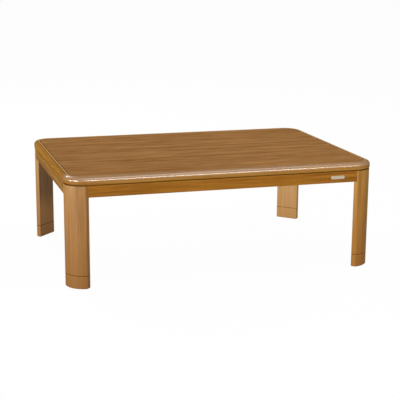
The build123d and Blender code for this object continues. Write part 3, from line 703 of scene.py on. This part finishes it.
# ------------------------------------------------------------------ legs
def leg_outline(s, low, steps=40):
    """Plan of the front-left leg from its low corner: a quarter arc of radius r outside, square-cut
    ends and a flat inside, with each edge rounded by the arris a.

    The arris between arc and end lies at r - a from the arc's centre and at a from the end's plane,
    which fixes its angle: sin(angle - 45) = (sqrt2 a - r) / (sqrt2 (r - a)).
    """
    r, a, step = s.radius, s.arris, s.end / math.sqrt(2)
    root = math.sqrt(2)
    turn = 225 - math.degrees(math.asin((root * a - r) / (root * (r - a))))
    start = 450 - turn
    out = (r - a) * np.array([math.cos(math.radians(turn)), math.sin(math.radians(turn))])
    near, far = np.array([r, r]) + out, np.array([r, r]) + out[::-1]
    inner = np.array([r + step - root * a, step])
    base = np.array(low)
    big = arcs((base + (r, r), r, start, turn), steps=steps)
    edges = arcs(
        (base + near, a, turn, 315),
        (base + inner, a, 315, 405),
        (base + inner[::-1], a, 45, 135),
        (base + far, a, 135, start),
        steps=5,
    )
    return tuple(np.concatenate(pair) for pair in zip(big, edges))


def leg_piece(name, outline, levels, mirror):
    """Outline carried upright through levels of (inset, height), with a chamfer where the inset changes."""
    sp, sn = [], []
    for (s0, z0), (s1, z1) in zip(levels, levels[1:]):
        n = np.array([-(z1 - z0), s1 - s0])
        sp += [(s0, z0), (s1, z1)]
        sn += [n / np.linalg.norm(n)] * 2
    points, normals = carried(outline, (np.array(sp), np.array(sn)))
    shell = Shell().grid(points, normals, wrap=(True, False))
    shell.cap(points[:, 0], (0, 0, -1)).cap(points[:, -1], (0, 0, 1))
    return shell.make(name, mirror=mirror)


class TABLE_OT_legs(bpy.types.Operator):
    """Build the four curved legs, their extensions and the foot glides"""

    bl_idname = "table.legs"
    bl_label = "Legs"

    def execute(self, context):
        s, c = context.scene.table_leg, context.scene.table_wood
        leg_low, leg_high = boxed("leg_fl")
        ext_low, ext_high = boxed("leg_extension_fl")
        outline = leg_outline(s, leg_low[:2])
        joint = leg_low[2]
        glide = moulded("Foot glide plastic", (0.10, 0.06, 0.03), 0.5)
        rim = s.arris / 4
        for k, (corner, signs) in enumerate(CORNERS.items()):
            mirror = (-signs[0], -signs[1])
            # The back right leg's factor lifts it far above the others; its cause is not known.
            tone = BOARD_TONES_AND_PAINTED_SHEEN.get(corner, (1, 1, 1))
            material = wood(
                f"Leg wood {corner}",
                toned(c.leg_light, tone),
                toned(c.leg_dark, tone),
                "Z",
                seed=k * 3.7,
                fineness=0.8,
                # A dark joint line that is also painted shade in the groove, a little wider than the
                # chamfer.
                joint=(joint, s.joint * 1.3),
                # Painted shade: darker towards the foot.
                painted_foot_shade=(leg_high[2], 0.0),
                coat=0.6,
                fade=1,
            )
            levels = [(s.joint, joint), (0, joint + s.joint), (0, leg_high[2])]
            leg = leg_piece(f"leg_{corner}_piece", outline, levels, mirror)
            finished(leg, "frame", "wood_leg", material, f"leg_{corner}")
            levels = [(rim, ext_low[2]), (0, ext_low[2] + rim)]
            levels += [(0, ext_high[2] - s.joint), (s.joint, ext_high[2])]
            foot = leg_piece(f"leg_extension_{corner}_piece", outline, levels, mirror)
            body = f"extension_{corner}"
            finished(foot, body, "wood_leg", material, f"leg_extension_{corner}")
            smoothed(f"foot_glide_{corner}", "glide_plastic", glide)
        pins = metal("Pin steel", (0.62, 0.62, 0.60), 0.32)
        for corner in CORNERS:
            smoothed(f"extension_pins_{corner}", "zinc_steel", pins)
        return {"FINISHED"}


# ------------------------------------------------------------------ aprons and rails
def board(name, half, section, outward, shear):
    """Straight board along X: the section at both ends, each end cut back by shear times its depth."""
    path = np.array([(-half, 0.0), (half, 0.0)]), np.array([(0.0, -1.0)] * 2)
    points, normals = carried(path, section)
    cut = section[0][:, 0] * shear
    points[0, :, 0] += cut
    points[1, :, 0] -= cut
    shell = Shell().grid(points, normals, wrap=(False, True))
    shell.cap(points[0], (-1, 0, 0)).cap(points[1], (1, 0, 0))
    return shell.make(name, outward)


class TABLE_OT_frame(bpy.types.Operator):
    """Build the aprons under the top and the rails that carry the heater"""

    bl_idname = "table.frame"
    bl_label = "Aprons and rails"

    def execute(self, context):
        s, c = context.scene.table_frame, context.scene.table_wood
        gloss = {"coat": 0.1}
        for side, turn in SIDES.items():
            low, high = boxed(f"apron_{side}")
            along = 0 if turn % 180 == 0 else 1
            half = (high[along] - low[along]) / 2
            across = max(abs(low[1 - along]), abs(high[1 - along]))
            section = arcs(
                ((s.apron_round, low[2] + s.apron_round), s.apron_round, 180, 270),
                ((s.apron_thickness - s.board_arris, low[2] + s.board_arris), s.board_arris, 270, 360),
                ((s.apron_thickness - s.board_arris, high[2] - s.board_arris), s.board_arris, 0, 90),
                ((s.board_arris, high[2] - s.board_arris), s.board_arris, 90, 180),
                steps=6,
            )
            place = Matrix.Rotation(math.radians(turn), 4, "Z") @ Matrix.Translation((0, -across, 0))
            obj = board(f"apron_{side}_piece", half, section, place, 1.0)
            # On the left apron the factor is a painted reflection of the white surroundings, over the
            # board's tone.
            tone = BOARD_TONES_AND_PAINTED_SHEEN.get(side, (1, 1, 1))
            light, dark = toned(c.apron_light, tone), toned(c.apron_dark, tone)
            material = wood(f"Apron wood {side}", light, dark, "XY"[along], 41.7 + turn / 40, **gloss)
            finished(obj, "frame", "wood_frame", material, f"apron_{side}")
        for side in SIDES:
            self.rail(side, s, c, gloss)
        dowel = wood("Dowel beech", (0.70, 0.52, 0.32), (0.55, 0.38, 0.22), "X", coat=0.0)
        smoothed("apron_dowels", "wood_dowel", dowel)
        return {"FINISHED"}

    def rail(self, side, s, c, gloss):
        """A rail between its two neighbours, without the tenons that are hidden in them."""
        low, high = boxed(f"rail_{side}")
        along = int(high[1] - low[1] > high[0] - low[0])
        centre = (low + high) / 2
        width = (high - low)[1 - along]
        section = rounded_box((0, low[2]), (width, high[2]), s.board_arris, steps=4)
        spin = Matrix.Rotation(math.radians(90 * along), 4, "Z")
        offset = Matrix.Translation((centre[0], centre[1], 0)) @ spin
        half = (high - low)[along] / 2 - s.tenon
        place = offset @ Matrix.Translation((0, -width / 2, 0))
        obj = board(f"rail_{side}_piece", half, section, place, 0.0)
        material = wood(
            f"Rail wood {side}", c.apron_light, c.apron_dark, "XY"[along], seed=5 + half, **gloss
        )
        finished(obj, "frame", "wood_frame", material, f"rail_{side}")


# ------------------------------------------------------------------ plate and hardware
class TABLE_OT_nameplate(bpy.types.Operator):
    """Build the bare plate on the front apron"""

    bl_idname = "table.nameplate"
    bl_label = "Bare plate"

    def execute(self, context):
        low, high = boxed("nameplate")
        size = high - low
        radius = size[2] / 2 - 1e-5
        outline = rounded_box((-size[0] / 2, -size[2] / 2), (size[0] / 2, size[2] / 2), radius, steps=16)
        centre = (low + high) / 2
        place = Matrix.Translation((centre[0], high[1], centre[2])) @ Matrix.Rotation(math.pi / 2, 4, "X")
        obj = slab("nameplate_piece", outline, 0.0, size[1], size[1] * 0.45, turn=place)
        silver = metal("Bare plate, satin silver", (0.40, 0.34, 0.26), 0.42, "X")
        finished(obj, "frame", "plate_silver", silver, "nameplate")
        return {"FINISHED"}


class TABLE_OT_hardware(bpy.types.Operator):
    """Finish the corner brackets, bolts, screws and rest pads"""

    bl_idname = "table.hardware"
    bl_label = "Hardware"

    def execute(self, context):
        zinc = metal("Zinc plate", (0.66, 0.66, 0.63), 0.36)
        steel = "corner_brackets", "bracket_screws", "leg_bolts", "leg_washers", "leg_nuts", "heater_screws"
        for node in steel:
            smoothed(node, "zinc_steel", zinc)
        smoothed("rest_pads", "soft_pad", moulded("Rest pad rubber", (0.05, 0.045, 0.04), 0.8))
        return {"FINISHED"}


# ------------------------------------------------------------------ heater
def turned(profile, steps=48):
    """Surface turned about Z: the section (r, z) carried round a path of no size, so s = -r."""
    (points, normals) = profile
    a = np.linspace(0, 2 * np.pi, steps, endpoint=False)
    ring = np.stack([np.cos(a), np.sin(a)], 1)
    flip = np.array([-1.0, 1.0])
    return carried((np.zeros_like(ring), ring), (points * flip, normals * flip))


def tube(points, across, radius, sides=10, closed=False):
    """Round wire along a line of points.

    With the tangent t and a fixed vector b, the ring's axes are side = t x b and up = side x t, and
    a point is centre + radius * (cos a * side + sin a * up), whose normal is the same without radius.
    """
    if closed:
        tangent = np.roll(points, -1, 0) - np.roll(points, 1, 0)
    else:
        tangent = np.gradient(points, axis=0)
    tangent /= np.linalg.norm(tangent, axis=1, keepdims=True)
    side = np.cross(tangent, across)
    side /= np.linalg.norm(side, axis=1, keepdims=True)
    up = np.cross(side, tangent)
    a = np.linspace(0, 2 * np.pi, sides, endpoint=False)[None, :, None]
    normals = np.cos(a) * side[:, None] + np.sin(a) * up[:, None]
    return points[:, None] + radius * normals, normals


def bent(corners, radius, steps=6):
    """Line through the corners with each inner one replaced by an arc of the radius.

    The arc starts and ends at radius * tan(turn / 2) from the corner; its points are the corner
    moved to the centre and back along the turning direction.
    """
    corners = np.asarray(corners, float)
    line = [corners[0]]
    for before, corner, after in zip(corners, corners[1:], corners[2:]):
        a, b = corner - before, after - corner
        a, b = a / np.linalg.norm(a), b / np.linalg.norm(b)
        turn = math.acos(np.clip(a @ b, -1, 1))
        start = corner - a * radius * math.tan(turn / 2)
        inward = b - a * math.cos(turn)
        inward /= np.linalg.norm(inward)
        t = np.linspace(0, turn, steps + 1)[:, None]
        line += list(start + radius * (np.sin(t) * a + (1 - np.cos(t)) * inward))
    line.append(corners[-1])
    return np.array(line)


def add_wire(shell, line, across, radius, sides=10, closed=False):
    points, normals = tube(line, across, radius, sides, closed)
    shell.grid(points, normals, wrap=(closed, True))
    if not closed:
        shell.cap(points[0], line[0] - line[1]).cap(points[-1], line[-1] - line[-2])


class TABLE_OT_guard(bpy.types.Operator):
    """Build the welded wire guard under the heater"""

    bl_idname = "table.guard"
    bl_label = "Guard"

    def execute(self, context):
        s = context.scene.table_heater
        low, high = boxed("guard_grille")
        half = (high[0] - low[0]) / 2 - s.rod
        top = high[2] - s.rod
        shell = Shell()
        ring, _ = rounded_box((-half, -half), (half, half), s.corner, steps=8)
        ring = np.column_stack([ring, np.full(len(ring), top)])
        add_wire(shell, ring, (0, 0, 1), s.rod, closed=True)
        bottom = low[2] + s.wire
        reach = half - s.corner
        for count, lift, turn in ((s.wires, 0.0, False), (s.cross, s.wire * 1.7, True)):
            flat = half - s.slope
            base = bottom + lift
            corners = [(-half, 0, top), (-flat, 0, base), (flat, 0, base), (half, 0, top)]
            line = bent(corners, s.bend)
            for place in np.linspace(-reach, reach, count):
                moved = line + (0, place, 0)
                across = (0, 1, 0)
                if turn:
                    moved, across = moved[:, [1, 0, 2]], (1, 0, 0)
                add_wire(shell, moved, across, s.wire, 8)
        obj = shell.make("guard_grille_piece")
        chrome = metal("Guard chrome", (0.72, 0.72, 0.72), 0.2)
        finished(obj, "frame", "guard_wire", chrome, "guard_grille")
        smoothed("guard_clips", "spring_steel", metal("Spring steel", (0.48, 0.48, 0.48), 0.35))
        return {"FINISHED"}


class TABLE_OT_tubes(bpy.types.Operator):
    """Build the quartz tubes with their wound coils, terminals and ceramic holders"""

    bl_idname = "table.tubes"
    bl_label = "Heating tubes"

    def execute(self, context):
        s = context.scene.table_heater
        low, high = boxed("heater_tubes")
        coil_low, coil_high = boxed("tube_coils")
        outer = (high[2] - low[2]) / 2
        axis_z, axis_x = (low[2] + high[2]) / 2, high[0] - outer
        inner = outer - s.tube_wall
        glass, wires = Shell(), Shell()
        lip = s.tube_wall / 2
        for x in (-axis_x, axis_x):
            profile = arcs(
                ((inner + lip, high[1] - lip), lip, 0, 180),
                ((inner + lip, low[1] + lip), lip, 180, 360),
                steps=6,
            )
            points, normals = turned(profile, 32)
            swap = [0, 2, 1]
            points, normals = points[..., swap] + (x, 0, axis_z), normals[..., swap]
            glass.grid(points, normals, wrap=(True, True))
            turns = (coil_high[1] - coil_low[1]) / s.coil_pitch
            a = np.linspace(0, 2 * np.pi * turns, int(turns * 14))
            r = s.coil_radius - s.coil_wire
            along = np.linspace(coil_low[1], coil_high[1], len(a))
            helix = np.stack([x + r * np.cos(a), along, axis_z + r * np.sin(a)], 1)
            add_wire(wires, helix, (0, 1, 0), s.coil_wire, 6)
        finished(glass.make("heater_tubes_piece"), "frame", "quartz", quartz("Quartz"), "heater_tubes")
        wire = metal("Heating wire", (0.36, 0.32, 0.29), 0.45)
        finished(wires.make("tube_coils_piece"), "frame", "coil_wire", wire, "tube_coils")
        brass = metal("Brass", (0.78, 0.58, 0.26), 0.28)
        ceramic = moulded("Ceramic", (0.84, 0.82, 0.76), 0.3, 300.0)
        smoothed("tube_terminals", "terminal_brass", brass)
        smoothed("inlet_pins", "terminal_brass", brass)
        for node in ("tube_holders", "terminal_block", "thermal_fuse"):
            smoothed(node, "ceramic", ceramic)
        return {"FINISHED"}


def blade_surface(s, hub, tip, low, high, count=14):
    """One fan blade as a closed skin round a curved, twisting plate.

    At radius r the plate's middle line is an arc of the wheel, c(r) wide, that climbs from the
    wheel's low to its high face with a slight S; its thickness tapers to both ends as sqrt(1 - q^2).
    """
    r = np.linspace(hub, tip, 10)[:, None]
    a = np.linspace(0, 2 * np.pi, 2 * count, endpoint=False)[None, :]
    q, top = np.cos(a), np.sin(a)
    share = (r - hub) / (tip - hub)
    spread = 0.36 + 0.05 * share
    angle = spread * q + 0.30 * share
    climb = (high - low) / 2 - s.blade
    middle = (low + high) / 2 + climb * (q - 0.18 * np.sin(np.pi * q)) * (1 - 0.35 * share)
    z = middle + s.blade / 2 * top
    return np.stack([r * np.cos(angle), r * np.sin(angle), z], -1)


def grid_normals(points):
    """Normals of a grid that is closed along its second direction, from its neighbours' differences."""
    along = np.gradient(points, axis=0)
    round_ = np.roll(points, -1, 1) - np.roll(points, 1, 1)
    n = np.cross(along, round_)
    n /= np.maximum(np.linalg.norm(n, axis=-1, keepdims=True), 1e-12)
    centre = points.mean(1, keepdims=True)
    return n * np.sign(np.sum(n * (points - centre), -1).mean())


class TABLE_OT_fan(bpy.types.Operator):
    """Build the fan wheel and finish its motor"""

    bl_idname = "table.fan"
    bl_label = "Fan"

    def execute(self, context):
        s = context.scene.table_heater
        low, high = boxed("fan_wheel")
        motor_low = boxed("fan_motor")[0][2]
        tip = high[1]
        wheel_high = low[2] + 0.010
        hub, shaft, soft = 0.011, 0.0015, 0.003
        shell = Shell()
        profile = arcs(
            ((0.0, low[2]), 0, 270, 270),
            ((hub - soft, low[2] + soft), soft, -90, 0),
            ((hub, wheel_high), 0, 0, 90),
            ((shaft, wheel_high), 0, 90, 0),
            ((shaft, high[2]), 0, 0, 90),
            ((0.0, high[2]), 0, 90, 90),
            steps=8,
        )
        points, normals = turned(profile, 40)
        shell.grid(points, normals, wrap=(True, False))
        blade = blade_surface(s, hub - 0.0006, tip, low[2], wheel_high)
        normal = grid_normals(blade)
        for k in range(s.blades):
            m = np.array(Matrix.Rotation(2 * math.pi * k / s.blades, 3, "Z"))
            skin, out = blade @ m.T, normal @ m.T
            shell.grid(skin, out, wrap=(False, True))
            shell.cap(skin[0], skin[0].mean(0) - skin[-1].mean(0))
            shell.cap(skin[-1], skin[-1].mean(0) - skin[0].mean(0))
        plastic = moulded("Fan plastic", (0.06, 0.06, 0.06), 0.4)
        finished(shell.make("fan_wheel_piece"), "fan", "fan_plastic", plastic, "fan_wheel")
        smoothed("thermostat", "fan_plastic", plastic)
        enamel = moulded("Housing enamel", (0.075, 0.075, 0.08), 0.35, 900.0)
        smoothed("fan_motor", "housing_steel", enamel)
        smoothed("heater_housing", "housing_steel", enamel)
        return {"FINISHED"}


class TABLE_OT_controls(bpy.types.Operator):
    """Finish the reflector, the inlet and the leads"""

    bl_idname = "table.controls"
    bl_label = "Reflector, inlet and leads"

    def execute(self, context):
        bright = metal("Reflector, bright rolled", (0.86, 0.86, 0.87), 0.14, "Y")
        smoothed("heater_reflector", "reflector_bright", bright)
        smoothed("inlet_socket", "inlet_plastic", moulded("Inlet plastic", (0.04, 0.04, 0.04), 0.45))
        smoothed("heater_leads", "lead_sleeve", sleeve("Lead sleeve", (0.80, 0.78, 0.72)))
        return {"FINISHED"}


# ------------------------------------------------------------------ stage
def lamp(name, place, target, size, power):
    """Rectangular lamp at a place, turned to a target."""
    data = bpy.data.lights.new(name, "AREA")
    data.shape = "RECTANGLE"
    data.size, data.size_y = size
    data.energy = power
    obj = bpy.data.objects.new(name, data)
    obj.location = place
    obj.rotation_euler = (Vector(target) - Vector(place)).to_track_quat("-Z", "Y").to_euler()
    bpy.context.scene.collection.objects.link(obj)
    obj.visible_camera = False
    return obj


class TABLE_OT_stage(bpy.types.Operator):
    """Set up the floor, the light and the camera"""

    bl_idname = "table.stage"
    bl_label = "Stage"

    def execute(self, context):
        light = context.scene.table_light
        self.floor(light)
        self.world(light)
        lamp("Key", (-13.20, -10.80, 1.55), (0, 0, 0.25), (4.8, 1.6), light.key)
        lamp("Front", (1.15, -5.00, 1.45), (0, -0.42, 0.4), (2.8, 0.45), light.front)
        lamp("Overhead", (0.45, -0.80, 3.00), (0.1, -0.3, 0.4), (2.8, 1.2), light.over)
        lamp("Left", (-17.40, -3.00, 0.75), (0, 0, 0.25), (4.8, 1.6), light.left)
        lamp("Back", (-1.50, 4.00, 3.20), (0, 0, 0.35), (2.4, 0.8), light.back)
        self.camera()
        context.scene.view_settings.view_transform = "Standard"
        return {"FINISHED"}

    def floor(self, light):
        """Level floor, nearly white to the camera but dark enough under the table to keep its shadow."""
        a = np.linspace(0, 2 * np.pi, 96, endpoint=False)
        ring = np.stack([np.cos(a) * 60, np.sin(a) * 60, 0 * a], 1)
        mesh = bpy.data.meshes.new("Floor")
        mesh.from_pydata(ring.tolist(), [], [list(range(96))])
        obj = place_object("Floor", mesh)
        g = Graph("Floor")
        seen = self.seen(g)
        plain = g.add("BsdfDiffuse", {}, {"Color": colour(light.floor)})[0]
        white = g.add("Emission", {}, {"Color": (1, 1, 1, 1), "Strength": 1.02})[0]
        mixed = g.add("MixShader", {}, {0: seen * 0.95, 1: plain, 2: white})[0]
        g.add("OutputMaterial", {}, {"Surface": mixed})
        mesh.materials.append(g.material)

    def seen(self, g):
        """1 for rays from the camera and for those that gloss or glass sends on."""
        path = g.add("LightPath")
        total = path["Is Camera Ray"] + path["Is Glossy Ray"] + path["Is Transmission Ray"]
        return g.add("Clamp", {}, {0: total})[0]

    def world(self, light):
        """White to the camera, to gloss and to glass, and an even pale light to everything else."""
        world = bpy.data.worlds.new("World")
        bpy.context.scene.world = world
        world.use_nodes = True
        g = Graph.__new__(Graph)
        g.tree = world.node_tree
        g.tree.nodes.clear()
        strength = self.seen(g) * (1 - light.ambient) + light.ambient
        shine = g.add("Background", {}, {"Color": (1, 1, 1, 1), "Strength": strength})[0]
        g.add("OutputWorld", {}, {"Surface": shine})

    def camera(self):
        """Long lens at the front left, looking a little down, with a slight roll."""
        yaw, pitch, roll = (math.radians(a) for a in (16.745, 13.290, 0.370))
        ahead = Vector(
            (math.sin(yaw) * math.cos(pitch), math.cos(yaw) * math.cos(pitch), -math.sin(pitch))
        )
        right = Vector((math.cos(yaw), -math.sin(yaw), 0))
        up = right.cross(ahead)
        across = right * math.cos(roll) + up * math.sin(roll)
        upright = up * math.cos(roll) - right * math.sin(roll)
        data = bpy.data.cameras.new("Camera")
        data.lens, data.sensor_width = 97.072, 36.0
        data.clip_end = 200.0
        obj = bpy.data.objects.new("Camera", data)
        bpy.context.scene.collection.objects.link(obj)
        turn = Matrix((across, upright, -ahead)).transposed().to_4x4()
        obj.matrix_world = Matrix.Translation((-1.21835, -4.12319, 1.22020)) @ turn
        bpy.context.scene.camera = obj


# ------------------------------------------------------------------ panel and registration
class TABLE_PT_panel(bpy.types.Panel):
    bl_label = "Heated low table"
    bl_space_type = "VIEW_3D"
    bl_region_type = "UI"
    bl_category = "Table"

    def draw(self, context):
        for operator in OPERATORS:
            self.layout.operator(operator.bl_idname)
        for name in GROUPS:
            group = getattr(context.scene, name)
            box = self.layout.box()
            for key in group.bl_rna.properties.keys():
                if key not in {"rna_type", "name"}:
                    box.prop(group, key)


OPERATORS = [
    TABLE_OT_top,
    TABLE_OT_legs,
    TABLE_OT_frame,
    TABLE_OT_nameplate,
    TABLE_OT_hardware,
    TABLE_OT_guard,
    TABLE_OT_tubes,
    TABLE_OT_fan,
    TABLE_OT_controls,
    TABLE_OT_stage,
]
GROUPS = {
    "table_top": TopSizes,
    "table_frame": FrameSizes,
    "table_leg": LegSizes,
    "table_heater": HeaterSizes,
    "table_wood": WoodColours,
    "table_light": StageLight,
}


def register():
    for name, group in GROUPS.items():
        bpy.utils.register_class(group)
        setattr(bpy.types.Scene, name, PointerProperty(type=group))
    for item in [*OPERATORS, TABLE_PT_panel]:
        bpy.utils.register_class(item)


def unregister():
    for item in [TABLE_PT_panel, *reversed(OPERATORS)]:
        bpy.utils.unregister_class(item)
    for name, group in reversed(GROUPS.items()):
        delattr(bpy.types.Scene, name)
        bpy.utils.unregister_class(group)


def main():
    register()
    for operator in OPERATORS:
        family, name = operator.bl_idname.split(".")
        getattr(getattr(bpy.ops, family), name)()


if __name__ == "__main__":
    main()
